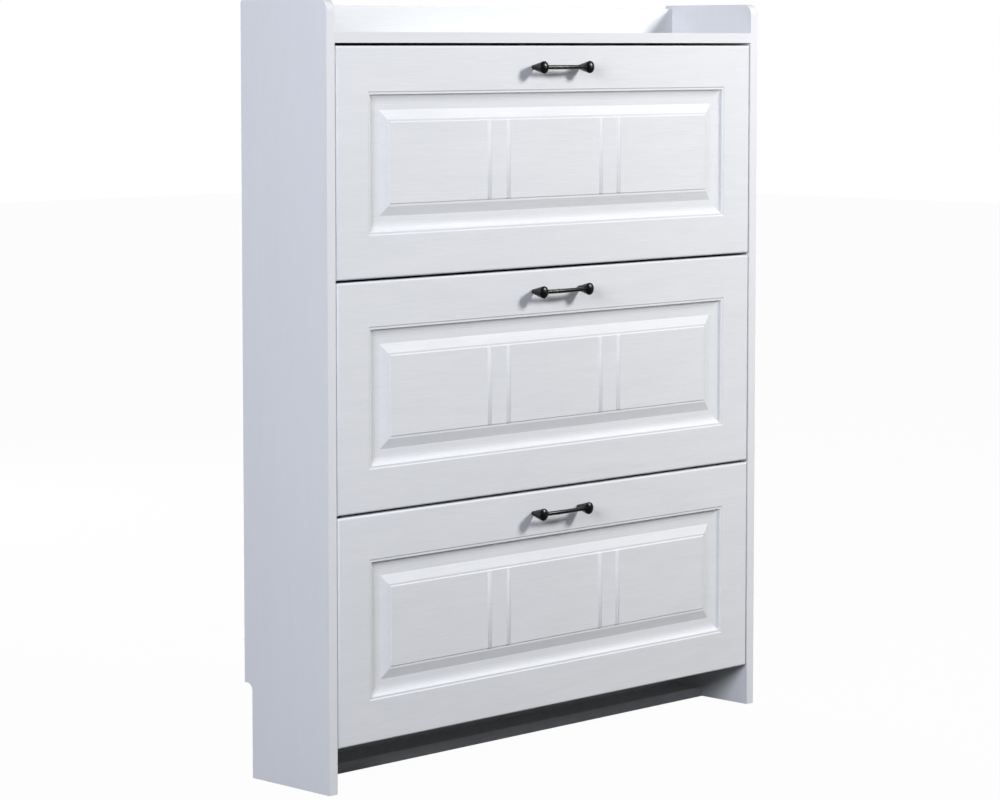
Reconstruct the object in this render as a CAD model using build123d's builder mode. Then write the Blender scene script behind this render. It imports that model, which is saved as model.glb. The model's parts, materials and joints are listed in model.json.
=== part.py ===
"""Slim three-tier shoe cabinet with tip-out doors.

Millimetres, +Z up, the doors face -Y, the cabinet stands on z = 0. Depths called "back" are
measured from the front plane of the cabinet towards the wall.
"""

import os
from math import atan2, cos, degrees, radians, sin, sqrt

from build123d import *

os.makedirs("parts", exist_ok=True)

# ---- overall size -------------------------------------------------------------------------------
WIDTH = 900.0
DEPTH = 177.0
HEIGHT = 1094.0
BOARD = 15.0
HANDLE_PROJECTION = 26.0

# ---- carcass ------------------------------------------------------------------------------------
GALLERY_HEIGHT = 44.0  # side panels above the top board
RAIL_HEIGHT = 38.5  # gallery rail above the top board
SIDE_CORNER_R = 15.0  # top front corner of a side panel
SIDE_REAR_R = 3.0  # top rear corner of a side panel
NOTCH_HEIGHT = 135.0  # skirting board notch
NOTCH_DEPTH = 16.0
NOTCH_R = 10.0
BOTTOM_SETBACK = 93.0  # front edge of the bottom board behind the front plane
LOWER_BACK_TOP = 196.0
STRETCHER_HEIGHT = 60.0
WALL_RAIL_HEIGHT = 80.0
WALL_HOLE_R = 3.0
WALL_HOLE_SPACING = 600.0

# ---- back sheets and their joining strip --------------------------------------------------------
SHEET = 3.0
SHEET_LIFT = 1.0  # lower edge above the notch
GROOVE_DEPTH = 6.0
GROOVE_PLAY = 0.2  # per face of the back sheet
GROOVE_END_PLAY = 0.5
JOINER_WEB = 1.6
JOINER_LIP = 9.0
JOINER_WALL = 1.2
JOINER_PLAY = 0.1
JOINER_END_PLAY = 0.5
SHEET_SCREW_R = 1.5
SHEET_SCREW_L = 12.0
SHEET_SCREW_HEAD_R = 2.8
SHEET_SCREW_HEAD = 1.4
SHEET_SCREW_RISE = 18.0  # above and below the middle of the stretcher
SHEET_SCREW_DROP = 30.0  # below the top edge of the wall rail and of the lower back board
SHEET_SCREW_SHARES = (-0.42, -0.14, 0.14, 0.42)  # of the width between the sides

# ---- doors --------------------------------------------------------------------------------------
TIERS = ("bottom", "middle", "top")
DOOR_T = 15.0
DOOR_GAP = 4.0  # between doors, and under the top board
DOOR_SIDE_GAP = 2.5
DOOR_FLOOR_GAP = 63.0
DOOR_EDGE_R = 3.0
BORDER_SIDE = 59.0  # flat border from the door edge to the moulding
BORDER_TOP = 62.5
BORDER_BOTTOM = 59.0
STEP_W = 1.6  # small step at the outer line of the moulding and round the raised panel
STEP_D = 1.0
LEDGE_W = 2.6  # flat ledge between a step and the slope beside it
COVE_W = 13.0
RECESS_D = 7.0
RECESS_FLAT_W = 8.5
BEVEL_W = 13.5
PANEL_D = 1.6  # raised panel face below the door face
BEAD_W = 8.4  # upright beads on the raised panel, in two pairs
BEAD_H = 1.4
BEAD_BAND = 38.5  # between the two beads of a pair
CURVE_STEPS = 6  # flats that make up a cove

# ---- handle -------------------------------------------------------------------------------------
HANDLE_SPACING = 96.0
HANDLE_FROM_TOP = 31.0
POST_NECK_R = 3.3
POST_RIM_R = 9.2
POST_RIM_OUT = 22.4  # widest place of a post in front of the door
POST_RIM_ROUND = 1.4
BAR_R = 3.1
BAR_OUT = 17.6  # bar axis in front of the door at its ends
BAR_BOW = 3.2
HANDLE_SCREW_R = 2.0
HANDLE_SCREW_PLAY = 0.05
HANDLE_SCREW_REACH = 11.0
HANDLE_SCREW_HEAD_R = 4.0
HANDLE_SCREW_HEAD = 2.4
CROSS_L = 5.0  # recess for a cross-head driver
CROSS_W = 1.0
CROSS_D = 1.0

# ---- tilt mechanism -----------------------------------------------------------------------------
TILT = 45.0
PIVOT_BACK = 22.0
PIVOT_UP = 57.0  # above the bottom edge of the door
PIN_R = 4.0
PIN_PLAY = 0.08
PIN_PROUD = 0.5  # pin end past the inner face of the rack bracket
LIMIT_ANGLE = 25.0  # limiter pin above the horizontal, seen from the pivot
LIMIT_INSET = 27.0
SLOT_PLAY = 0.5
PLATE = 1.8
PLATE_PIVOT_R = 9.0
PLATE_LIMIT_R = 8.0
PLATE_SCREW_SHARES = (0.36, 0.68)  # along the plate
RACK_T = 4.0
RACK_SIDE_GAP = 3.5  # rack bracket to side panel
RACK_UP = 10.0  # underside of the rack above the bottom edge of the door
RACK_BELOW_DOOR_TOP = 85.0
RACK_HEAD_W = 16.0  # width of the rack bracket at its top
RACK_CORNER_R = 12.0
RACK_BACK_H = 150.0
RACK_BACK_DROP = 13.0  # tray back below the rear corner of the bracket
FLANGE_T = 3.0
FLANGE_W = 14.0
TRAY_T = 9.0
SWEEP_CLEARANCE = 3.0
STOP_SIZE = (10.0, 12.0, 24.0)
STOP_R = 2.0
STOP_GAP = 0.4
STOP_DROP = 26.0  # below the top edge of the door
STOP_RECESS = 3.0

# ---- fittings -----------------------------------------------------------------------------------
HOLE_PLAY = 0.05
CLEARANCE_PLAY = 0.15  # round a screw in the piece that it clamps
BLIND_PLAY = 0.5  # blind holes are this much deeper than what goes in
CAM_R = 6.0
CAM_H = 10.5
CAM_IN = 24.0
CAM_CROSS_L = 9.0
CAM_CROSS_W = 1.4
CAM_CROSS_D = 1.5
BOLT_THREAD_R = 3.5
BOLT_THREAD_L = 10.0
BOLT_SHAFT_R = 2.5
BOLT_BORE_PLAY = 0.3
BOLT_SLOT_PLAY = 0.2
BOLT_HEAD_INSET = 1.5  # bolt end short of the cam axis
DOWEL_R = 3.0
DOWEL_L = 28.0
DOWEL_IN_SIDE = 11.0
DOWEL_EDGE = 13.0  # dowel axis from the edge of an upright board
RAIL_DOWEL_DROP = 8.0
RAIL_DOWEL_RISE = 18.0
RAIL_DOWEL_PLAY = 0.3
WOOD_SCREW_R = 1.75
WOOD_SCREW_HEAD_R = 3.4
WOOD_SCREW_HEAD = 1.8
HEAD_SINK = 1.4  # countersink in a pivot plate
HEAD_PLAY = 0.1
BRACKET_SCREW_L = 11.0
STOP_SCREW_L = 18.0
STOP_SCREW_HEAD = 1.6
RACK_SCREW_L = 7.0
RACK_SCREW_FIRST = 44.0  # lowest door screw above the bottom edge of the door
RACK_SCREW_LAST = 23.0  # highest door screw below the top of the rack
BACK_SCREW_FIRST = 50.0
BACK_SCREW_LAST = 22.0

# ---- derived ------------------------------------------------------------------------------------
Y_FRONT = HANDLE_PROJECTION - (DEPTH + HANDLE_PROJECTION) / 2
Y_BACK = Y_FRONT + DEPTH
X_IN = WIDTH / 2 - BOARD
INNER_W = 2 * X_IN
TOP_Z = HEIGHT - GALLERY_HEIGHT
CEILING_Z = TOP_Z - BOARD
DOOR_H = (CEILING_Z - DOOR_FLOOR_GAP - len(TIERS) * DOOR_GAP) / len(TIERS)
DOOR_W = INNER_W - 2 * DOOR_SIDE_GAP
DOOR_Z = [DOOR_FLOOR_GAP + i * (DOOR_H + DOOR_GAP) for i in range(len(TIERS))]
Y_DOOR_BACK = Y_FRONT + DOOR_T
Y_NOTCH = Y_BACK - NOTCH_DEPTH
Y_SHEET = Y_NOTCH  # the sheets lie against boards that are flush with the notch
Y_STRETCHER = Y_SHEET - GROOVE_PLAY - BOARD
Y_BOTTOM = Y_FRONT + BOTTOM_SETBACK
GROOVE_Y = (Y_SHEET - GROOVE_PLAY, Y_SHEET + SHEET + GROOVE_PLAY)
SHEET_Z0 = NOTCH_HEIGHT + SHEET_LIFT
SHEET_Z1 = CEILING_Z + GROOVE_DEPTH - GROOVE_END_PLAY
JOIN_Z = (SHEET_Z0 + SHEET_Z1) / 2

Y_PIVOT = Y_FRONT + PIVOT_BACK
PIVOT_Z = [z + PIVOT_UP for z in DOOR_Z]
RACK_REACH = Y_STRETCHER - Y_PIVOT - SWEEP_CLEARANCE
Y_RACK = Y_PIVOT + sqrt(RACK_REACH**2 - (PIVOT_UP - RACK_UP) ** 2)
LIMIT_R = Y_RACK - Y_PIVOT - LIMIT_INSET
LIMIT_Y = LIMIT_R * cos(radians(LIMIT_ANGLE))
LIMIT_Z = LIMIT_R * sin(radians(LIMIT_ANGLE))
X_RACK_OUT = X_IN - RACK_SIDE_GAP
X_RACK = X_RACK_OUT - RACK_T
RACK_TOP = DOOR_H - RACK_BELOW_DOOR_TOP

# Moulding, as insets from its outer line
FRAME_W = DOOR_W - 2 * BORDER_SIDE
FRAME_H = DOOR_H - BORDER_TOP - BORDER_BOTTOM
COVE_IN = STEP_W + LEDGE_W
BEVEL_IN = COVE_IN + COVE_W + RECESS_FLAT_W
PANEL_STEP_IN = BEVEL_IN + BEVEL_W + LEDGE_W
PANEL_IN = PANEL_STEP_IN + STEP_W
PANEL_W = FRAME_W - 2 * PANEL_IN
PANEL_H = FRAME_H - 2 * PANEL_IN
FIELD_W = (PANEL_W - 2 * BEAD_BAND) / 3
BEAD_XS = [s * (FIELD_W / 2 + k * BEAD_BAND) for s in (-1, 1) for k in (0, 1)]

# End joints of the boards: (y, z) of each cam bolt, and of each dowel
TOP_JOINT_Z = CEILING_Z + BOARD / 2
TOP_BOLTS = [(Y_FRONT + DEPTH * k, TOP_JOINT_Z) for k in (0.2, 0.78)]
TOP_DOWELS = [(Y_FRONT + DEPTH * k, TOP_JOINT_Z) for k in (0.36, 0.62)]
BOTTOM_MID = (Y_BOTTOM + Y_NOTCH) / 2
BOTTOM_BOLTS = [(BOTTOM_MID, BOARD / 2)]
BOTTOM_DOWELS = [(BOTTOM_MID + s * (Y_NOTCH - Y_BOTTOM) / 3, BOARD / 2) for s in (-1, 1)]
UPRIGHTS = {
    "wall_rail": (CEILING_Z - WALL_RAIL_HEIGHT, WALL_RAIL_HEIGHT),
    "middle_stretcher": (JOIN_Z - STRETCHER_HEIGHT / 2, STRETCHER_HEIGHT),
    "lower_back_board": (BOARD, LOWER_BACK_TOP - BOARD),
}
Y_UPRIGHT_MID = Y_STRETCHER + BOARD / 2


def upright_bolts(name):
    z0, height = UPRIGHTS[name]
    return [(Y_UPRIGHT_MID, z0 + height / 2)]


def upright_dowels(name):
    z0, height = UPRIGHTS[name]
    return [(Y_UPRIGHT_MID, z) for z in (z0 + DOWEL_EDGE, z0 + height - DOWEL_EDGE)]


def sheet_screw_points():
    """(x, z) of the screws that hold the back sheets to the upright boards."""
    points = []
    for name, (z0, height) in UPRIGHTS.items():
        for share in SHEET_SCREW_SHARES:
            x = share * INNER_W
            if name == "middle_stretcher":
                points += [(x, z0 + height / 2 + s * SHEET_SCREW_RISE) for s in (-1, 1)]
            else:
                points.append((x, z0 + height - SHEET_SCREW_DROP))
    return points


CAMS_DOWN = TOP_BOLTS + BOTTOM_BOLTS
CAMS_FRONT = [point for name in UPRIGHTS for point in upright_bolts(name)]
ALL_BOLTS = CAMS_DOWN + CAMS_FRONT
UPRIGHT_DOWELS = [point for name in UPRIGHTS for point in upright_dowels(name)]
ALL_DOWELS = TOP_DOWELS + BOTTOM_DOWELS + UPRIGHT_DOWELS
RAIL_JOINT = (Y_BACK - BOARD / 2, TOP_Z + RAIL_HEIGHT / 2)
RAIL_DOWEL_XS = (-WIDTH / 3, 0.0, WIDTH / 3)
SHEET_SCREWS = sheet_screw_points()
WALL_HOLES = [(s * WALL_HOLE_SPACING / 2, CEILING_Z - WALL_RAIL_HEIGHT / 2) for s in (-1, 1)]
BRACKET_SCREWS = [(k * LIMIT_Y, k * LIMIT_Z) for k in PLATE_SCREW_SHARES]
STOP_Z = [z + DOOR_H - STOP_DROP for z in DOOR_Z]
Y_STOP = Y_DOOR_BACK + STOP_GAP + STOP_SIZE[1] / 2
HANDLE_XS = (-HANDLE_SPACING / 2, HANDLE_SPACING / 2)
X_RACK_SCREW = X_RACK - FLANGE_W / 2
TRAY_Z = RACK_UP + FLANGE_T  # underside of the tray board above the door edge
Y_TRAY_BACK = Y_RACK - FLANGE_T - TRAY_T
RACK_SCREW_TOP = RACK_TOP - RACK_SCREW_LAST
DOOR_SCREW_ZS = (RACK_SCREW_FIRST, (RACK_SCREW_FIRST + RACK_SCREW_TOP) / 2, RACK_SCREW_TOP)
TRAY_SCREW_YS = [Y_DOOR_BACK + (Y_RACK - Y_DOOR_BACK) * k for k in (0.3, 0.72)]
BACK_SCREW_ZS = (BACK_SCREW_FIRST, RACK_BACK_H - BACK_SCREW_LAST)


def save(piece, label):
    piece.part.label = label
    export_step(piece.part, f"parts/{label}.step")


def along_x(x0, x1, y, z, radius, mode=Mode.ADD):
    """Round bar from x0 to x1."""
    with Locations(((x0 + x1) / 2, y, z)):
        Cylinder(radius, abs(x1 - x0), rotation=(0, 90, 0), mode=mode)


def along_y(y0, y1, x, z, radius, mode=Mode.ADD):
    """Round bar from y0 to y1."""
    with Locations((x, (y0 + y1) / 2, z)):
        Cylinder(radius, abs(y1 - y0), rotation=(90, 0, 0), mode=mode)


def along_z(z0, z1, x, y, radius, mode=Mode.ADD):
    """Round bar from z0 to z1."""
    with Locations((x, y, (z0 + z1) / 2)):
        Cylinder(radius, abs(z1 - z0), mode=mode)


def block(x0, x1, y0, y1, z0, z1, mode=Mode.ADD):
    """Box between two corners."""
    with Locations(((x0 + x1) / 2, (y0 + y1) / 2, (z0 + z1) / 2)):
        Box(abs(x1 - x0), abs(y1 - y0), abs(z1 - z0), mode=mode)


def round_corner(place, radius):
    """Fillet the corner nearest to place in the sketch being drawn."""
    fillet(vertices().sort_by_distance(place)[0], radius)


# ---- side panels --------------------------------------------------------------------------------
def side_panel(side, label):
    inner = side * X_IN
    outer = side * WIDTH / 2
    with BuildPart() as panel:
        with BuildSketch(Plane.YZ.offset(min(inner, outer))):
            with BuildLine():
                Polyline(
                    (Y_FRONT, 0),
                    (Y_NOTCH, 0),
                    (Y_NOTCH, NOTCH_HEIGHT),
                    (Y_BACK, NOTCH_HEIGHT),
                    (Y_BACK, HEIGHT),
                    (Y_FRONT, HEIGHT),
                    close=True,
                )
            make_face()
            round_corner((Y_FRONT, HEIGHT), SIDE_CORNER_R)
            round_corner((Y_BACK, HEIGHT), SIDE_REAR_R)
            round_corner((Y_NOTCH, NOTCH_HEIGHT), NOTCH_R)
        extrude(amount=BOARD)
        deep = inner + side * GROOVE_DEPTH
        groove_top = SHEET_Z1 + GROOVE_END_PLAY
        block(inner, deep, *GROOVE_Y, NOTCH_HEIGHT - SHEET_LIFT, groove_top, Mode.SUBTRACT)
        for y, z in ALL_BOLTS:
            blind = inner + side * (BOLT_THREAD_L + BLIND_PLAY)
            along_x(inner, blind, y, z, BOLT_THREAD_R + HOLE_PLAY, Mode.SUBTRACT)
        for y, z in ALL_DOWELS + [RAIL_JOINT]:
            blind = inner + side * (DOWEL_IN_SIDE + BLIND_PLAY)
            along_x(inner, blind, y, z, DOWEL_R + HOLE_PLAY, Mode.SUBTRACT)
        for pivot_z in PIVOT_Z:
            for dy, dz in BRACKET_SCREWS:
                blind = inner + side * (BRACKET_SCREW_L + BLIND_PLAY)
                hole = WOOD_SCREW_R + HOLE_PLAY
                along_x(inner, blind, Y_PIVOT + dy, pivot_z + dz, hole, Mode.SUBTRACT)
        for z in STOP_Z:
            blind = inner + side * (STOP_SCREW_L - STOP_SIZE[0] + BLIND_PLAY)
            along_x(inner, blind, Y_STOP, z, WOOD_SCREW_R + HOLE_PLAY, Mode.SUBTRACT)
    save(panel, label)


side_panel(-1, "side_panel_left")
side_panel(1, "side_panel_right")


# ---- boards between the sides -------------------------------------------------------------------
def cut_end_joints(bolts, dowels, cam_axis, cam_face):
    """Bolt, dowel and cam holes at both ends of the board being built."""
    cam_end = cam_face + CAM_H + BLIND_PLAY
    for side in (-1, 1):
        end = side * X_IN
        cam_x = end - side * CAM_IN
        for y, z in bolts:
            along_x(end, cam_x, y, z, BOLT_THREAD_R + BOLT_BORE_PLAY, Mode.SUBTRACT)
            if cam_axis == "z":
                along_z(cam_face, cam_end, cam_x, y, CAM_R + HOLE_PLAY, Mode.SUBTRACT)
            else:
                along_y(cam_face, cam_end, cam_x, z, CAM_R + HOLE_PLAY, Mode.SUBTRACT)
        for y, z in dowels:
            blind = end - side * (DOWEL_L - DOWEL_IN_SIDE + BLIND_PLAY)
            along_x(end, blind, y, z, DOWEL_R + HOLE_PLAY, Mode.SUBTRACT)


with BuildPart() as top_board:
    block(-X_IN, X_IN, Y_FRONT, Y_BACK, CEILING_Z, TOP_Z)
    block(-X_IN, X_IN, *GROOVE_Y, CEILING_Z, CEILING_Z + GROOVE_DEPTH, Mode.SUBTRACT)
    cut_end_joints(TOP_BOLTS, TOP_DOWELS, "z", CEILING_Z)
    for x in RAIL_DOWEL_XS:
        drop = TOP_Z - RAIL_DOWEL_DROP - RAIL_DOWEL_PLAY
        along_z(drop, TOP_Z, x, RAIL_JOINT[0], DOWEL_R + HOLE_PLAY, Mode.SUBTRACT)
save(top_board, "top_board")

with BuildPart() as bottom_board:
    block(-X_IN, X_IN, Y_BOTTOM, Y_NOTCH, 0, BOARD)
    cut_end_joints(BOTTOM_BOLTS, BOTTOM_DOWELS, "z", 0)
save(bottom_board, "bottom_board")

with BuildPart() as gallery_rail:
    block(-X_IN, X_IN, Y_BACK - BOARD, Y_BACK, TOP_Z, TOP_Z + RAIL_HEIGHT)
    for x in RAIL_DOWEL_XS:
        rise = TOP_Z + RAIL_DOWEL_RISE + RAIL_DOWEL_PLAY
        along_z(TOP_Z, rise, x, RAIL_JOINT[0], DOWEL_R + HOLE_PLAY, Mode.SUBTRACT)
    for side in (-1, 1):
        blind = side * (X_IN - DOWEL_L + DOWEL_IN_SIDE - BLIND_PLAY)
        along_x(side * X_IN, blind, *RAIL_JOINT, DOWEL_R + HOLE_PLAY, Mode.SUBTRACT)
save(gallery_rail, "gallery_rail")


def upright_board(name):
    """Board on edge between the sides, against the back sheets."""
    z0, height = UPRIGHTS[name]
    y1 = Y_STRETCHER + BOARD
    with BuildPart() as board:
        block(-X_IN, X_IN, Y_STRETCHER, y1, z0, z0 + height)
        cut_end_joints(upright_bolts(name), upright_dowels(name), "y", Y_STRETCHER)
        for x, z in SHEET_SCREWS:
            if z0 < z < z0 + height:
                depth = y1 - SHEET_SCREW_L + SHEET - BLIND_PLAY
                along_y(depth, y1, x, z, SHEET_SCREW_R + HOLE_PLAY, Mode.SUBTRACT)
        if name == "wall_rail":
            for x, z in WALL_HOLES:
                along_y(Y_STRETCHER, y1, x, z, WALL_HOLE_R, Mode.SUBTRACT)
    save(board, name)


for upright in UPRIGHTS:
    upright_board(upright)


# ---- back sheets --------------------------------------------------------------------------------
def back_sheet(z0, z1, label):
    half = X_IN + GROOVE_DEPTH - GROOVE_END_PLAY
    holes = [(x, z, SHEET_SCREW_R + HOLE_PLAY) for x, z in SHEET_SCREWS]
    holes += [(x, z, WALL_HOLE_R) for x, z in WALL_HOLES]
    with BuildPart() as sheet:
        block(-half, half, Y_SHEET, Y_SHEET + SHEET, z0, z1)
        for x, z, radius in holes:
            if z0 < z < z1:
                along_y(Y_SHEET, Y_SHEET + SHEET, x, z, radius, Mode.SUBTRACT)
    save(sheet, label)


back_sheet(SHEET_Z0, JOIN_Z - JOINER_WEB / 2, "back_sheet_lower")
back_sheet(JOIN_Z + JOINER_WEB / 2, SHEET_Z1, "back_sheet_upper")

# The joining strip is a T seen from its end: a wall behind the sheets, and a web between their edges.
with BuildPart() as back_joiner:
    half = X_IN - JOINER_END_PLAY
    wall_y0 = Y_SHEET + SHEET + JOINER_PLAY
    block(-half, half, wall_y0, wall_y0 + JOINER_WALL, JOIN_Z - JOINER_LIP, JOIN_Z + JOINER_LIP)
    block(-half, half, Y_SHEET, wall_y0, JOIN_Z - JOINER_WEB / 2, JOIN_Z + JOINER_WEB / 2)
save(back_joiner, "back_joiner")

with BuildPart() as back_screws:
    for x, z in SHEET_SCREWS:
        head_y = Y_SHEET + SHEET
        along_y(head_y - SHEET_SCREW_L, head_y, x, z, SHEET_SCREW_R)
        along_y(head_y, head_y + SHEET_SCREW_HEAD, x, z, SHEET_SCREW_HEAD_R)
save(back_screws, "back_screws")

# ---- carcass fittings ---------------------------------------------------------------------------
with BuildPart() as cam_bolts:
    for side in (-1, 1):
        for y, z in ALL_BOLTS:
            face = side * X_IN
            along_x(face + side * BOLT_THREAD_L, face, y, z, BOLT_THREAD_R)
            along_x(face, face - side * (CAM_IN - BOLT_HEAD_INSET), y, z, BOLT_SHAFT_R)
save(cam_bolts, "cam_bolts")


def cam_lock(side, y, z, axis):
    """Round cam with a screwdriver slot in its face and a notch for the bolt."""
    cam_x = side * (X_IN - CAM_IN)
    x0 = cam_x - CAM_CROSS_L / 2
    x1 = cam_x + CAM_CROSS_L / 2
    half = CAM_CROSS_W / 2
    if axis == "z":
        face = z - BOARD / 2
        along_z(face, face + CAM_H, cam_x, y, CAM_R)
        block(x0, x1, y - half, y + half, face, face + CAM_CROSS_D, Mode.SUBTRACT)
    else:
        face = y - BOARD / 2
        along_y(face, face + CAM_H, cam_x, z, CAM_R)
        block(x0, x1, face, face + CAM_CROSS_D, z - half, z + half, Mode.SUBTRACT)
    notch_r = BOLT_SHAFT_R + BOLT_SLOT_PLAY
    along_x(cam_x - side * BLIND_PLAY, cam_x + side * (CAM_R + 1), y, z, notch_r, Mode.SUBTRACT)


with BuildPart() as cam_locks:
    for side in (-1, 1):
        for y, z in CAMS_DOWN:
            cam_lock(side, y, z, "z")
        for y, z in CAMS_FRONT:
            cam_lock(side, y, z, "y")
save(cam_locks, "cam_locks")

with BuildPart() as carcass_dowels:
    for side in (-1, 1):
        start = side * (X_IN + DOWEL_IN_SIDE)
        for y, z in ALL_DOWELS:
            along_x(start, start - side * DOWEL_L, y, z, DOWEL_R)
save(carcass_dowels, "carcass_dowels")

with BuildPart() as gallery_dowels:
    for side in (-1, 1):
        start = side * (X_IN + DOWEL_IN_SIDE)
        along_x(start, start - side * DOWEL_L, *RAIL_JOINT, DOWEL_R)
    for x in RAIL_DOWEL_XS:
        along_z(TOP_Z - RAIL_DOWEL_DROP, TOP_Z + RAIL_DOWEL_RISE, x, RAIL_JOINT[0], DOWEL_R)
save(gallery_dowels, "gallery_dowels")


# ---- pivot brackets and stops -------------------------------------------------------------------
def pivot_bracket(side, pivot_z, label):
    """Steel plate on the side panel, with the pivot pin and the limiter pin."""
    wall = side * X_IN
    face = wall - side * PLATE
    tip = side * (X_RACK - PIN_PROUD)
    with BuildPart() as bracket:
        with BuildSketch(Plane.YZ.offset(min(wall, face))):
            with Locations((Y_PIVOT, pivot_z)):
                Circle(PLATE_PIVOT_R)
            with Locations((Y_PIVOT + LIMIT_Y, pivot_z + LIMIT_Z)):
                Circle(PLATE_LIMIT_R)
            make_hull()
        extrude(amount=PLATE)
        for dy, dz in BRACKET_SCREWS:
            y = Y_PIVOT + dy
            z = pivot_z + dz
            sink = face + side * HEAD_SINK
            along_x(wall, face, y, z, WOOD_SCREW_R + CLEARANCE_PLAY, Mode.SUBTRACT)
            along_x(face, sink, y, z, WOOD_SCREW_HEAD_R + HEAD_PLAY, Mode.SUBTRACT)
        along_x(face, tip, Y_PIVOT, pivot_z, PIN_R)
        along_x(face, tip, Y_PIVOT + LIMIT_Y, pivot_z + LIMIT_Z, PIN_R)
    save(bracket, label)


for tier, axis_z in zip(TIERS, PIVOT_Z):
    pivot_bracket(-1, axis_z, f"pivot_bracket_left_{tier}")
    pivot_bracket(1, axis_z, f"pivot_bracket_right_{tier}")

with BuildPart() as bracket_screws:
    for side in (-1, 1):
        face = side * (X_IN - PLATE)
        sink = face + side * HEAD_SINK
        for axis_z in PIVOT_Z:
            for dy, dz in BRACKET_SCREWS:
                y = Y_PIVOT + dy
                z = axis_z + dz
                along_x(sink, side * (X_IN + BRACKET_SCREW_L), y, z, WOOD_SCREW_R)
                along_x(face + side * HEAD_PLAY, sink, y, z, WOOD_SCREW_HEAD_R)
save(bracket_screws, "bracket_screws")

with BuildPart() as door_stops:
    for side in (-1, 1):
        face = side * (X_IN - STOP_SIZE[0])
        for z in STOP_Z:
            with Locations((side * (X_IN - STOP_SIZE[0] / 2), Y_STOP, z)):
                Box(*STOP_SIZE)
            through = WOOD_SCREW_R + CLEARANCE_PLAY
            along_x(face, side * X_IN, Y_STOP, z, through, Mode.SUBTRACT)
            wide = WOOD_SCREW_HEAD_R + HEAD_PLAY
            along_x(face, face + side * STOP_RECESS, Y_STOP, z, wide, Mode.SUBTRACT)
    fillet(door_stops.edges().filter_by(Axis.X).filter_by(GeomType.LINE), STOP_R)
save(door_stops, "door_stops")

with BuildPart() as stop_screws:
    for side in (-1, 1):
        face = side * (X_IN - STOP_SIZE[0])
        seat = face + side * STOP_RECESS
        for z in STOP_Z:
            along_x(seat, face + side * STOP_SCREW_L, Y_STOP, z, WOOD_SCREW_R)
            along_x(seat - side * STOP_SCREW_HEAD, seat, Y_STOP, z, WOOD_SCREW_HEAD_R)
save(stop_screws, "stop_screws")


# ---- door panels --------------------------------------------------------------------------------
def cove_profile(inset, depth, width, drop):
    """(inset, depth) points of a hollow quarter ellipse, steep at its lip and level at its foot."""
    angles = [radians(90.0 * i / CURVE_STEPS) for i in range(CURVE_STEPS + 1)]
    return [(inset + width * (1 - cos(a)), depth + drop * sin(a)) for a in angles]


def beads(centres, centre_z, width, height, rise):
    """Round beads standing on the raised panel, straight from its bottom edge to its top edge."""
    with BuildSketch(Plane.XY.offset(centre_z - height / 2)) as outline:
        for x in centres:
            with BuildLine():
                foot = Line((x - width / 2, Y_FRONT + PANEL_D), (x + width / 2, Y_FRONT + PANEL_D))
                ThreePointArc(foot @ 0, (x, Y_FRONT + PANEL_D - rise), foot @ 1)
            make_face()
    extrude(outline.sketch, amount=height)


def terrace(centre_z, width, height, profile):
    """Slope a rectangle on the door's middle line through the (inset, depth) points of a profile.

    Going deeper cuts into the door face, coming back towards it adds to the floor.
    """
    for (inset0, depth0), (inset1, depth1) in zip(profile, profile[1:]):
        deeper = depth1 > depth0
        outward = (0, 1, 0) if deeper else (0, -1, 0)
        level = Plane(origin=(0, Y_FRONT + depth0, centre_z), x_dir=(1, 0, 0), z_dir=outward)
        with BuildSketch(level) as outline:
            Rectangle(width - 2 * inset0, height - 2 * inset0)
        slope = degrees(atan2(inset1 - inset0, abs(depth1 - depth0)))
        mode = Mode.SUBTRACT if deeper else Mode.ADD
        extrude(outline.sketch, amount=abs(depth1 - depth0), taper=slope, mode=mode)


def door_panel(z0, label):
    centre_z = z0 + BORDER_BOTTOM + FRAME_H / 2
    ledge = PANEL_D + STEP_D
    with BuildPart() as panel:
        block(-DOOR_W / 2, DOOR_W / 2, Y_FRONT, Y_DOOR_BACK, z0, z0 + DOOR_H)
        fillet(panel.faces().sort_by(Axis.Y)[0].edges(), DOOR_EDGE_R)
        terrace(centre_z, FRAME_W, FRAME_H, [(0, 0), (STEP_W, STEP_D)])
        cove = cove_profile(COVE_IN, STEP_D, COVE_W, RECESS_D - STEP_D)
        terrace(centre_z, FRAME_W, FRAME_H, cove)
        bevel = [(BEVEL_IN, RECESS_D), (BEVEL_IN + BEVEL_W, ledge)]
        terrace(centre_z, FRAME_W, FRAME_H, bevel)
        step = [(PANEL_STEP_IN, ledge), (PANEL_IN, PANEL_D)]
        terrace(centre_z, FRAME_W, FRAME_H, step)
        beads(BEAD_XS, centre_z, BEAD_W, PANEL_H, BEAD_H)
        for x in HANDLE_XS:
            z = z0 + DOOR_H - HANDLE_FROM_TOP
            hole = HANDLE_SCREW_R + CLEARANCE_PLAY
            along_y(Y_FRONT, Y_DOOR_BACK, x, z, hole, Mode.SUBTRACT)
        for side in (-1, 1):
            for dz in DOOR_SCREW_ZS:
                deep = Y_DOOR_BACK - RACK_SCREW_L - BLIND_PLAY
                hole = WOOD_SCREW_R + HOLE_PLAY
                along_y(deep, Y_DOOR_BACK, side * X_RACK_SCREW, z0 + dz, hole, Mode.SUBTRACT)
    save(panel, label)


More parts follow.
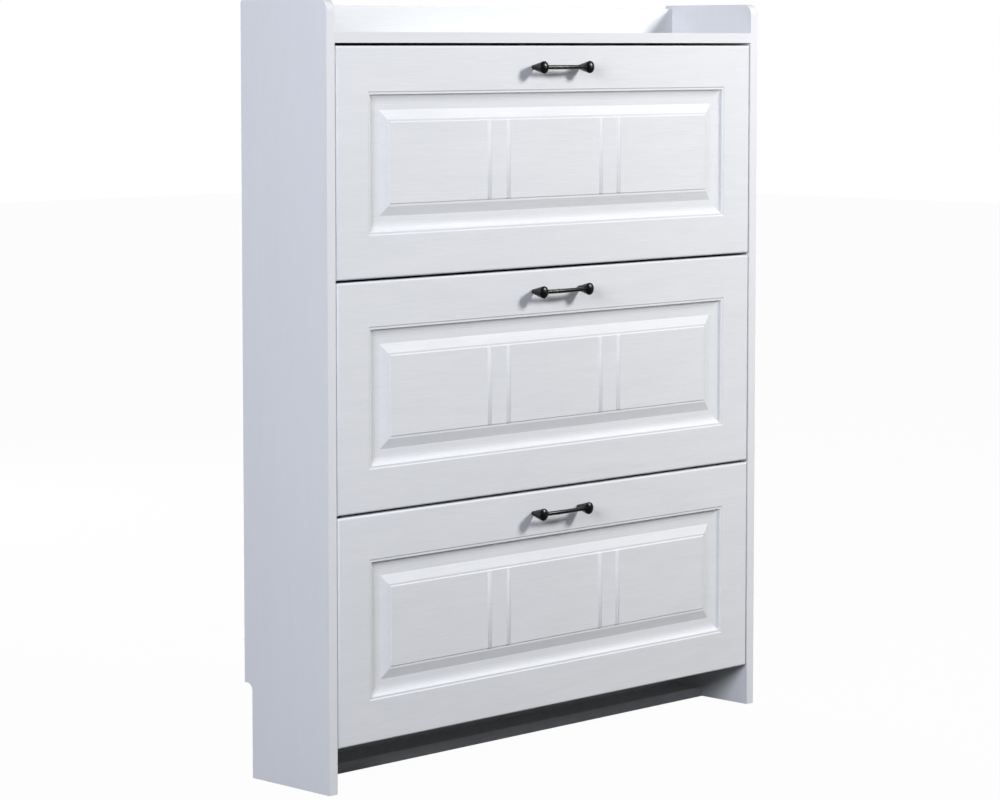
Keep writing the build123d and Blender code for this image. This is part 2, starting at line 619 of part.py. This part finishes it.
# ---- handles ------------------------------------------------------------------------------------
def handle(z0, label):
    """Bow handle: two conical posts with domed heads, joined by a slightly bowed round bar."""
    z = z0 + DOOR_H - HANDLE_FROM_TOP
    rim = (POST_RIM_R, -POST_RIM_OUT)
    with BuildPart() as pull:
        for x in HANDLE_XS:
            with BuildSketch(Plane(origin=(x, Y_FRONT, z), x_dir=(1, 0, 0), z_dir=(0, 0, 1))):
                with BuildLine():
                    Line((0, 0), (POST_NECK_R, 0))
                    Line((POST_NECK_R, 0), rim)
                    TangentArc((0, -HANDLE_PROJECTION), rim, tangent=(1, 0))
                    Line((0, -HANDLE_PROJECTION), (0, 0))
                make_face()
                round_corner(rim, POST_RIM_ROUND)
            revolve(axis=Axis((x, Y_FRONT, z), (0, 1, 0)))
        ends = HANDLE_SPACING / 2
        with BuildLine() as bow:
            ThreePointArc(
                (-ends, Y_FRONT - BAR_OUT, z),
                (0, Y_FRONT - BAR_OUT - BAR_BOW, z),
                (ends, Y_FRONT - BAR_OUT, z),
            )
        with BuildSketch(Plane(origin=bow.line @ 0, z_dir=bow.line % 0)):
            Circle(BAR_R)
        sweep(path=bow.line)
        for x in HANDLE_XS:
            hole = HANDLE_SCREW_R + HANDLE_SCREW_PLAY
            deep = Y_FRONT - HANDLE_SCREW_REACH - BLIND_PLAY
            along_y(deep, Y_FRONT, x, z, hole, Mode.SUBTRACT)
    save(pull, label)


def handle_screws(z0, label):
    z = z0 + DOOR_H - HANDLE_FROM_TOP
    head = Y_DOOR_BACK + HANDLE_SCREW_HEAD
    long = CROSS_L / 2
    short = CROSS_W / 2
    with BuildPart() as screws:
        for x in HANDLE_XS:
            along_y(Y_FRONT - HANDLE_SCREW_REACH, Y_DOOR_BACK, x, z, HANDLE_SCREW_R)
            along_y(Y_DOOR_BACK, head, x, z, HANDLE_SCREW_HEAD_R)
            for dx, dz in ((long, short), (short, long)):
                block(x - dx, x + dx, head - CROSS_D, head, z - dz, z + dz, Mode.SUBTRACT)
    save(screws, label)


# ---- tip-out racks ------------------------------------------------------------------------------
def rack_side(side, z0, label):
    """Bracket screwed to the back of the door: pivot hole, arc slot, and flanges for the trays."""
    outer = side * X_RACK_OUT
    inner = side * X_RACK
    lip = inner - side * FLANGE_W
    pivot_z = z0 + PIVOT_UP
    low = z0 + RACK_UP
    floor = low + FLANGE_T
    back_top = z0 + RACK_BACK_H
    top = z0 + RACK_TOP
    y_head = Y_DOOR_BACK + RACK_HEAD_W
    travel = CenterArc((Y_PIVOT, pivot_z), LIMIT_R, LIMIT_ANGLE - TILT, TILT)
    with BuildPart() as rack:
        with BuildSketch(Plane.YZ.offset(min(outer, inner))):
            with BuildLine():
                Polyline(
                    (Y_DOOR_BACK, low),
                    (Y_RACK, low),
                    (Y_RACK, back_top),
                    (y_head, top),
                    (Y_DOOR_BACK, top),
                    close=True,
                )
            make_face()
            round_corner((Y_RACK, back_top), RACK_CORNER_R)
            round_corner((y_head, top), RACK_CORNER_R)
            with Locations((Y_PIVOT, pivot_z)):
                Circle(PIN_R + PIN_PLAY, mode=Mode.SUBTRACT)
            SlotArc(travel, 2 * (PIN_R + SLOT_PLAY), mode=Mode.SUBTRACT)
        extrude(amount=RACK_T)
        block(inner, lip, Y_DOOR_BACK, Y_DOOR_BACK + FLANGE_T, floor + TRAY_T, top)
        block(inner, lip, Y_DOOR_BACK, Y_RACK, low, floor)
        block(inner, lip, Y_RACK - FLANGE_T, Y_RACK, floor, back_top - RACK_BACK_DROP)
        x = side * X_RACK_SCREW
        hole = WOOD_SCREW_R + CLEARANCE_PLAY
        for dz in DOOR_SCREW_ZS:
            along_y(Y_DOOR_BACK, Y_DOOR_BACK + FLANGE_T, x, z0 + dz, hole, Mode.SUBTRACT)
        for y in TRAY_SCREW_YS:
            along_z(low, floor, x, y, hole, Mode.SUBTRACT)
        for dz in BACK_SCREW_ZS:
            along_y(Y_RACK - FLANGE_T, Y_RACK, x, z0 + dz, hole, Mode.SUBTRACT)
    save(rack, label)


def tray_board(z0, label):
    under = z0 + TRAY_Z
    with BuildPart() as tray:
        block(-X_RACK, X_RACK, Y_DOOR_BACK, Y_RACK - FLANGE_T, under, under + TRAY_T)
        for side in (-1, 1):
            for y in TRAY_SCREW_YS:
                top = under + RACK_SCREW_L + BLIND_PLAY
                hole = WOOD_SCREW_R + HOLE_PLAY
                along_z(under, top, side * X_RACK_SCREW, y, hole, Mode.SUBTRACT)
    save(tray, label)


def tray_back(z0, label):
    low = z0 + TRAY_Z + TRAY_T
    high = z0 + RACK_BACK_H - RACK_BACK_DROP
    y1 = Y_TRAY_BACK + TRAY_T
    with BuildPart() as tray:
        block(-X_RACK, X_RACK, Y_TRAY_BACK, y1, low, high)
        for side in (-1, 1):
            for dz in BACK_SCREW_ZS:
                y0 = y1 - RACK_SCREW_L - BLIND_PLAY
                hole = WOOD_SCREW_R + HOLE_PLAY
                along_y(y0, y1, side * X_RACK_SCREW, z0 + dz, hole, Mode.SUBTRACT)
    save(tray, label)


def rack_screws(z0, label):
    """Screws from the rack brackets into the door, the tray board and the tray back."""
    with BuildPart() as screws:
        for side in (-1, 1):
            x = side * X_RACK_SCREW
            for dz in DOOR_SCREW_ZS:
                head = Y_DOOR_BACK + FLANGE_T
                along_y(Y_DOOR_BACK - RACK_SCREW_L, head, x, z0 + dz, WOOD_SCREW_R)
                along_y(head, head + WOOD_SCREW_HEAD, x, z0 + dz, WOOD_SCREW_HEAD_R)
            for y in TRAY_SCREW_YS:
                head = z0 + RACK_UP
                along_z(head, head + FLANGE_T + RACK_SCREW_L, x, y, WOOD_SCREW_R)
                along_z(head - WOOD_SCREW_HEAD, head, x, y, WOOD_SCREW_HEAD_R)
            for dz in BACK_SCREW_ZS:
                head = Y_RACK
                along_y(head - FLANGE_T - RACK_SCREW_L, head, x, z0 + dz, WOOD_SCREW_R)
                along_y(head, head + WOOD_SCREW_HEAD, x, z0 + dz, WOOD_SCREW_HEAD_R)
    save(screws, label)


for tier, door_z in zip(TIERS, DOOR_Z):
    door_panel(door_z, f"door_panel_{tier}")
    handle(door_z, f"handle_{tier}")
    handle_screws(door_z, f"handle_screws_{tier}")
    rack_side(-1, door_z, f"rack_side_left_{tier}")
    rack_side(1, door_z, f"rack_side_right_{tier}")
    tray_board(door_z, f"tray_board_{tier}")
    tray_back(door_z, f"tray_back_{tier}")
    rack_screws(door_z, f"rack_screws_{tier}")
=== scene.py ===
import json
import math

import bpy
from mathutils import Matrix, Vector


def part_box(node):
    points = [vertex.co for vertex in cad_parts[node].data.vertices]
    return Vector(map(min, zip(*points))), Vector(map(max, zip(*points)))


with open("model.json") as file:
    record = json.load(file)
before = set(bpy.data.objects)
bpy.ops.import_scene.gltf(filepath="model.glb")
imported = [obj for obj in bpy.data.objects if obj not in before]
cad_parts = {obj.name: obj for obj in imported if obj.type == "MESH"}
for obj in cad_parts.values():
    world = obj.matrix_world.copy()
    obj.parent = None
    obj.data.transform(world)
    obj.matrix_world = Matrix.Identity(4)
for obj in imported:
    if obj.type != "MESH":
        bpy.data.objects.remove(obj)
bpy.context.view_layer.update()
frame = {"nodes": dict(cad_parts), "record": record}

# Looks of the slim shoe cabinet: white foil-wrapped boards with a faint lengthwise grain, routed
# doors that tip out, black cast handles, zinc-plated fittings. Metres, in the frame's own axes:
# the doors face -Y and the cabinet stands on z = 0.

MM = 0.001
FRONT_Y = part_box("side_panel_left")[0][1]


# ---- shader building blocks -----------------------------------------------------------------------
class Shader:
    """A node material built one node at a time."""

    def __init__(self, name):
        self.material = bpy.data.materials.new(name)
        self.material.use_nodes = True
        self.nodes = self.material.node_tree.nodes
        self.links = self.material.node_tree.links
        self.nodes.clear()
        self.surface = self.add("ShaderNodeBsdfPrincipled")
        output = self.add("ShaderNodeOutputMaterial")
        self.link(self.surface.outputs["BSDF"], output.inputs["Surface"])
        self.place = self.add("ShaderNodeTexCoord").outputs["Object"]

    def add(self, kind, **settings):
        node = self.nodes.new(kind)
        for key, value in settings.items():
            setattr(node, key, value)
        return node

    def link(self, source, target):
        self.links.new(source, target)

    def set(self, **values):
        for key, value in values.items():
            self.surface.inputs[key.replace("_", " ")].default_value = value

    def stretched(self, scale):
        """Object coordinates times a scale for each axis."""
        mapping = self.add("ShaderNodeMapping")
        mapping.inputs["Scale"].default_value = scale
        self.link(self.place, mapping.inputs["Vector"])
        return mapping.outputs["Vector"]

    def noise(self, scale, stretch=(1, 1, 1), detail=4.0, roughness=0.55, distortion=0.0):
        node = self.add("ShaderNodeTexNoise")
        node.inputs["Scale"].default_value = scale
        node.inputs["Detail"].default_value = detail
        node.inputs["Roughness"].default_value = roughness
        node.inputs["Distortion"].default_value = distortion
        self.link(self.stretched(stretch), node.inputs["Vector"])
        return node.outputs["Fac"]

    def remap(self, value, low, high, to_low=0.0, to_high=1.0):
        node = self.add("ShaderNodeMapRange")
        node.inputs["From Min"].default_value = low
        node.inputs["From Max"].default_value = high
        node.inputs["To Min"].default_value = to_low
        node.inputs["To Max"].default_value = to_high
        self.link(value, node.inputs["Value"])
        return node.outputs["Result"]

    def math(self, operation, a, b):
        node = self.add("ShaderNodeMath", operation=operation)
        for socket, value in zip(node.inputs, (a, b)):
            if isinstance(value, (int, float)):
                socket.default_value = value
            else:
                self.link(value, socket)
        return node.outputs["Value"]

    def mix(self, factor, first, second):
        """Colour from first to second; each is a colour or a socket."""
        node = self.add("ShaderNodeMix", data_type="RGBA")
        self.link(factor, node.inputs["Factor"])
        sockets = [socket for socket in node.inputs if socket.type == "RGBA"]
        for socket, value in zip(sockets, (first, second)):
            if isinstance(value, tuple):
                socket.default_value = (*value, 1.0)
            else:
                self.link(value, socket)
        return next(socket for socket in node.outputs if socket.type == "RGBA")

    def edges(self, radius):
        """0 on flat stretches, rising towards 1 along edges."""
        soft = self.add("ShaderNodeBevel", samples=4)
        soft.inputs["Radius"].default_value = radius
        geometry = self.add("ShaderNodeNewGeometry")
        dot = self.add("ShaderNodeVectorMath", operation="DOT_PRODUCT")
        self.link(soft.outputs["Normal"], dot.inputs[0])
        self.link(geometry.outputs["Normal"], dot.inputs[1])
        return self.remap(dot.outputs["Value"], 0.995, 0.8)

    def color(self, socket):
        self.link(socket, self.surface.inputs["Base Color"])

    def roughness(self, socket):
        self.link(socket, self.surface.inputs["Roughness"])

    def bump(self, height, distance, strength=1.0):
        node = self.add("ShaderNodeBump")
        node.inputs["Distance"].default_value = distance
        node.inputs["Strength"].default_value = strength
        self.link(height, node.inputs["Height"])
        self.link(node.outputs["Normal"], self.surface.inputs["Normal"])


# ---- materials ------------------------------------------------------------------------------------
ALONG_X = (1.2, 34, 34)  # grain of doors and boards
ALONG_Z = (34, 34, 1.2)  # grain of the side panels


def white_foil(name, light, dark, grain, relief, gloss):
    """White foil with an embossed wood grain: fine streaks inside broad, slightly bent bands."""
    s = Shader(name)
    streaks = s.noise(16.0, grain, detail=7.0, roughness=0.66, distortion=0.25)
    bands = s.noise(3.2, tuple(1 + 0.35 * g for g in grain), detail=3.0, distortion=0.6)
    clouds = s.noise(2.6, detail=2.0)
    tone = s.math("ADD", s.math("MULTIPLY", streaks, 0.5), s.math("MULTIPLY", bands, 0.3))
    tone = s.math("ADD", tone, s.math("MULTIPLY", clouds, 0.2))
    body = s.mix(s.remap(tone, 0.38, 0.62), dark, light)
    # Painted highlight: every edge is painted a little lighter than the face beside it.
    edge_highlight_tone = tuple(min(1.0, c * 1.03) for c in light)
    s.color(s.mix(s.math("MULTIPLY", s.edges(0.0009), 0.5), body, edge_highlight_tone))
    s.roughness(s.remap(s.noise(9.0, (1, 4, 4)), 0.3, 0.7, gloss, gloss + 0.14))
    s.set(IOR=1.42)
    s.bump(s.math("ADD", streaks, s.math("MULTIPLY", bands, 0.6)), relief, 0.6)
    return s.material


def hardboard(name):
    """White-faced hardboard: matte, with a fine felted surface."""
    s = Shader(name)
    fibres = s.noise(420.0, detail=5.0)
    clouds = s.noise(6.0, detail=3.0)
    body = s.mix(s.remap(clouds, 0.3, 0.7), (0.70, 0.71, 0.73), (0.76, 0.77, 0.79))
    s.color(s.mix(s.math("MULTIPLY", s.edges(0.0006), 0.6), body, (0.52, 0.43, 0.33)))
    s.roughness(s.remap(fibres, 0.3, 0.7, 0.55, 0.75))
    s.bump(fibres, 0.00012, 0.5)
    return s.material


def moulded_plastic(name, color):
    s = Shader(name)
    fine = s.noise(900.0, detail=3.0)
    clouds = s.noise(12.0)
    body = s.mix(s.remap(clouds, 0.3, 0.7), tuple(c * 0.94 for c in color), color)
    # Painted highlight: the edges are painted a little lighter than the faces.
    s.color(s.mix(s.math("MULTIPLY", s.edges(0.0006), 0.5), body, tuple(c * 1.05 for c in color)))
    s.roughness(s.remap(fine, 0.3, 0.7, 0.38, 0.52))
    s.bump(fine, 0.00005, 0.4)
    return s.material


def metal(name, color, rough, relief=0.00003):
    s = Shader(name)
    brushed = s.noise(600.0, (1, 1, 0.12), detail=4.0)
    stain = s.noise(35.0, detail=3.0)
    body = s.mix(s.remap(stain, 0.35, 0.7), color, tuple(c * 0.78 for c in color))
    # Painted highlight: the edges are painted a quarter lighter than the faces.
    s.color(s.mix(s.edges(0.0005), body, tuple(min(1.0, c * 1.25) for c in color)))
    s.roughness(s.remap(brushed, 0.3, 0.7, rough, rough + 0.16))
    s.set(Metallic=1.0)
    s.bump(brushed, relief, 0.5)
    return s.material


def black_casting(name):
    """Polished black casting with a faint orange-peel skin, and a painted highlight in patches along
    its edges.
    """
    s = Shader(name)
    skin = s.noise(260.0, detail=4.0)
    broad = s.noise(40.0, detail=2.0)
    # Painted highlight: patches along the edges are painted lighter than the black body.
    edge_highlight_patches = s.math("MULTIPLY", s.edges(0.0008), s.remap(broad, 0.35, 0.75))
    s.color(s.mix(s.math("MULTIPLY", edge_highlight_patches, 0.6), (0.004, 0.0042, 0.0048), (0.03, 0.028, 0.026)))
    s.roughness(s.remap(skin, 0.3, 0.7, 0.26, 0.34))
    s.set(IOR=1.36)
    s.bump(skin, 0.00002, 0.15)
    return s.material


def beech(name):
    s = Shader(name)
    rings = s.noise(90.0, (1, 8, 8), detail=5.0)
    body = s.mix(s.remap(rings, 0.3, 0.7), (0.62, 0.42, 0.24), (0.74, 0.56, 0.36))
    # Painted highlight: the edges are painted lighter than the faces.
    s.color(s.mix(s.math("MULTIPLY", s.edges(0.0005), 0.5), body, (0.78, 0.62, 0.42)))
    s.roughness(s.remap(rings, 0.3, 0.7, 0.5, 0.7))
    s.bump(rings, 0.0001, 0.5)
    return s.material


FOIL_LIGHT = (0.80, 0.813, 0.828)
FOIL_DARK = (0.745, 0.760, 0.776)
MATERIALS = {
    "white_board": white_foil("white_board", FOIL_LIGHT, FOIL_DARK, ALONG_X, 0.00022, 0.5),
    "white_door_wrap": white_foil("white_door_wrap", FOIL_LIGHT, FOIL_DARK, ALONG_X, 0.00032, 0.5),
    "white_hardboard": hardboard("white_hardboard"),
    "white_plastic": moulded_plastic("white_plastic", (0.79, 0.80, 0.81)),
    "black_handle": black_casting("black_handle"),
    "zinc_plated_steel": metal("zinc_plated_steel", (0.66, 0.67, 0.69), 0.28),
    "zinc_die_cast": metal("zinc_die_cast", (0.52, 0.53, 0.55), 0.42),
    "beech_dowel": beech("beech_dowel"),
}
SIDE_DARK = tuple((light + dark) / 2 for light, dark in zip(FOIL_LIGHT, FOIL_DARK))
SIDE_FOIL = white_foil("white_side", FOIL_LIGHT, SIDE_DARK, ALONG_Z, 0.00012, 0.5)


# ---- frame nodes ----------------------------------------------------------------------------------
SLOTS = {row["node"]: row["material_slot"] for row in frame["record"]["subparts"]}
SOFT_EDGE_MM = {
    "white_board": 0.5,
    "white_door_wrap": 0.35,
    "white_plastic": 0.5,
    "zinc_plated_steel": 0.25,
    "zinc_die_cast": 0.25,
    "beech_dowel": 0.5,
}
SHARPEST_SMOOTH_TURN = 28  # degrees; any sharper edge is rounded


def soften(obj, width):
    """Small rounded edges: weld the split corners, bevel, and shade smooth across them."""
    weld = obj.modifiers.new("weld", "WELD")
    weld.merge_threshold = 0.00002
    bevel = obj.modifiers.new("edge", "BEVEL")
    bevel.width = width
    bevel.segments = 2
    bevel.limit_method = "ANGLE"
    bevel.angle_limit = math.radians(SHARPEST_SMOOTH_TURN)
    bevel.use_clamp_overlap = True
    bevel.harden_normals = True


for node_name, obj in frame["nodes"].items():
    slot_name = SLOTS[node_name]
    obj.data.materials.clear()
    if node_name.startswith("side_panel"):
        obj.data.materials.append(SIDE_FOIL)
    else:
        obj.data.materials.append(MATERIALS[slot_name])
    if slot_name in SOFT_EDGE_MM:
        soften(obj, SOFT_EDGE_MM[slot_name] * MM)


# ---- stage, light and camera ----------------------------------------------------------------------
FLOOR_REACH = 14.0
FLOOR_COLOR = (0.12, 0.12, 0.115, 1.0)  # as the light finds it: the recess under the doors stays dark
FLOOR_GLOW = 1.06
GLOW_SHARE = 0.92  # how much of what the camera sees of the floor is its glow
AMBIENT = 0.11
AMBIENT_COLOR = (0.95, 0.97, 1.0)
# name, place, target, size, power in watts, colour
LIGHTS = [
    ("key", (1.95, -2.2, 2.15), (0.0, 0.0, 0.7), 0.7, 90.0, (1.0, 0.99, 0.975)),
    ("left_fill", (-3.6, -1.65, 1.65), (-0.4, 0.0, 0.6), 1.5, 116.0, (0.86, 0.885, 1.0)),
    ("top", (-1.4, -0.6, 2.9), (0.0, 0.0, 1.0), 1.4, 6.0, (0.98, 0.99, 1.0)),
    ("back", (0.8, 3.2, 1.6), (0.0, 0.1, 0.6), 1.6, 110.0, (1.0, 1.0, 1.0)),
]
LENS_MM = 117.05
SENSOR_MM = 36.0
LENS_SHIFT_Y = -0.09
CAMERA_PLACE = (-3.4219, FRONT_Y - 3.2681, 1.0316)
CAMERA_YAW = math.radians(45.327)  # from +Y towards +X
CAMERA_PITCH = math.radians(4.655)  # downwards


def stage_floor():
    """Pale floor that the camera sees nearly shadowless, and that throws little light upwards."""
    mesh = bpy.data.meshes.new("floor")
    r = FLOOR_REACH
    corners = [(-r, -r, 0), (r, -r, 0), (r, r, 0), (-r, r, 0)]
    mesh.from_pydata(corners, [], [(0, 1, 2, 3)])
    floor = bpy.data.objects.new("floor", mesh)
    bpy.context.scene.collection.objects.link(floor)
    s = Shader("pale_floor")
    s.set(Base_Color=FLOOR_COLOR, Roughness=0.8)
    s.surface.inputs["Specular IOR Level"].default_value = 0.0
    glow = s.add("ShaderNodeEmission")
    glow.inputs["Color"].default_value = (1.0, 1.0, 1.0, 1.0)
    glow.inputs["Strength"].default_value = FLOOR_GLOW
    path = s.add("ShaderNodeLightPath")
    mix = s.add("ShaderNodeMixShader")
    s.link(s.math("MULTIPLY", path.outputs["Is Camera Ray"], GLOW_SHARE), mix.inputs["Fac"])
    s.link(s.surface.outputs["BSDF"], mix.inputs[1])
    s.link(glow.outputs["Emission"], mix.inputs[2])
    output = next(node for node in s.nodes if node.type == "OUTPUT_MATERIAL")
    s.link(mix.outputs["Shader"], output.inputs["Surface"])
    mesh.materials.append(s.material)


def area_light(name, place, target, size, power, color):
    data = bpy.data.lights.new(name, "AREA")
    data.shape = "DISK"
    data.size = size
    data.energy = power
    data.color = color
    light = bpy.data.objects.new(name, data)
    light.location = place
    light.rotation_euler = (Vector(target) - Vector(place)).to_track_quat("-Z", "Y").to_euler()
    bpy.context.scene.collection.objects.link(light)


def world_light(strength, color):
    """White to the camera, and an even light of its own colour and strength on the object."""
    world = bpy.data.worlds.new("studio")
    world.use_nodes = True
    tree = world.node_tree
    tree.nodes.clear()
    seen = tree.nodes.new("ShaderNodeBackground")
    seen.inputs["Color"].default_value = (1, 1, 1, 1)
    seen.inputs["Strength"].default_value = 1.0
    lit = tree.nodes.new("ShaderNodeBackground")
    lit.inputs["Color"].default_value = (*color, 1)
    lit.inputs["Strength"].default_value = strength
    path = tree.nodes.new("ShaderNodeLightPath")
    mix = tree.nodes.new("ShaderNodeMixShader")
    out = tree.nodes.new("ShaderNodeOutputWorld")
    tree.links.new(path.outputs["Is Camera Ray"], mix.inputs["Fac"])
    tree.links.new(lit.outputs["Background"], mix.inputs[1])
    tree.links.new(seen.outputs["Background"], mix.inputs[2])
    tree.links.new(mix.outputs["Shader"], out.inputs["Surface"])
    bpy.context.scene.world = world


def camera():
    """Long lens at three quarters from the front left, slightly above the middle of the cabinet."""
    data = bpy.data.cameras.new("camera")
    data.sensor_width = SENSOR_MM
    data.lens = LENS_MM
    data.shift_y = LENS_SHIFT_Y
    data.clip_start = 0.05
    data.clip_end = 60.0
    cam = bpy.data.objects.new("camera", data)
    cam.location = CAMERA_PLACE
    level = math.cos(CAMERA_PITCH)
    ahead = Vector(
        (math.sin(CAMERA_YAW) * level, math.cos(CAMERA_YAW) * level, -math.sin(CAMERA_PITCH))
    )
    cam.rotation_euler = ahead.to_track_quat("-Z", "Y").to_euler()
    bpy.context.scene.collection.objects.link(cam)
    bpy.context.scene.camera = cam


stage_floor()
world_light(AMBIENT, AMBIENT_COLOR)
for light_row in LIGHTS:
    area_light(*light_row)
camera()
view = bpy.context.scene.view_settings
view.view_transform = "Standard"
view.look = "None"
view.exposure = 0.0
view.gamma = 1.0
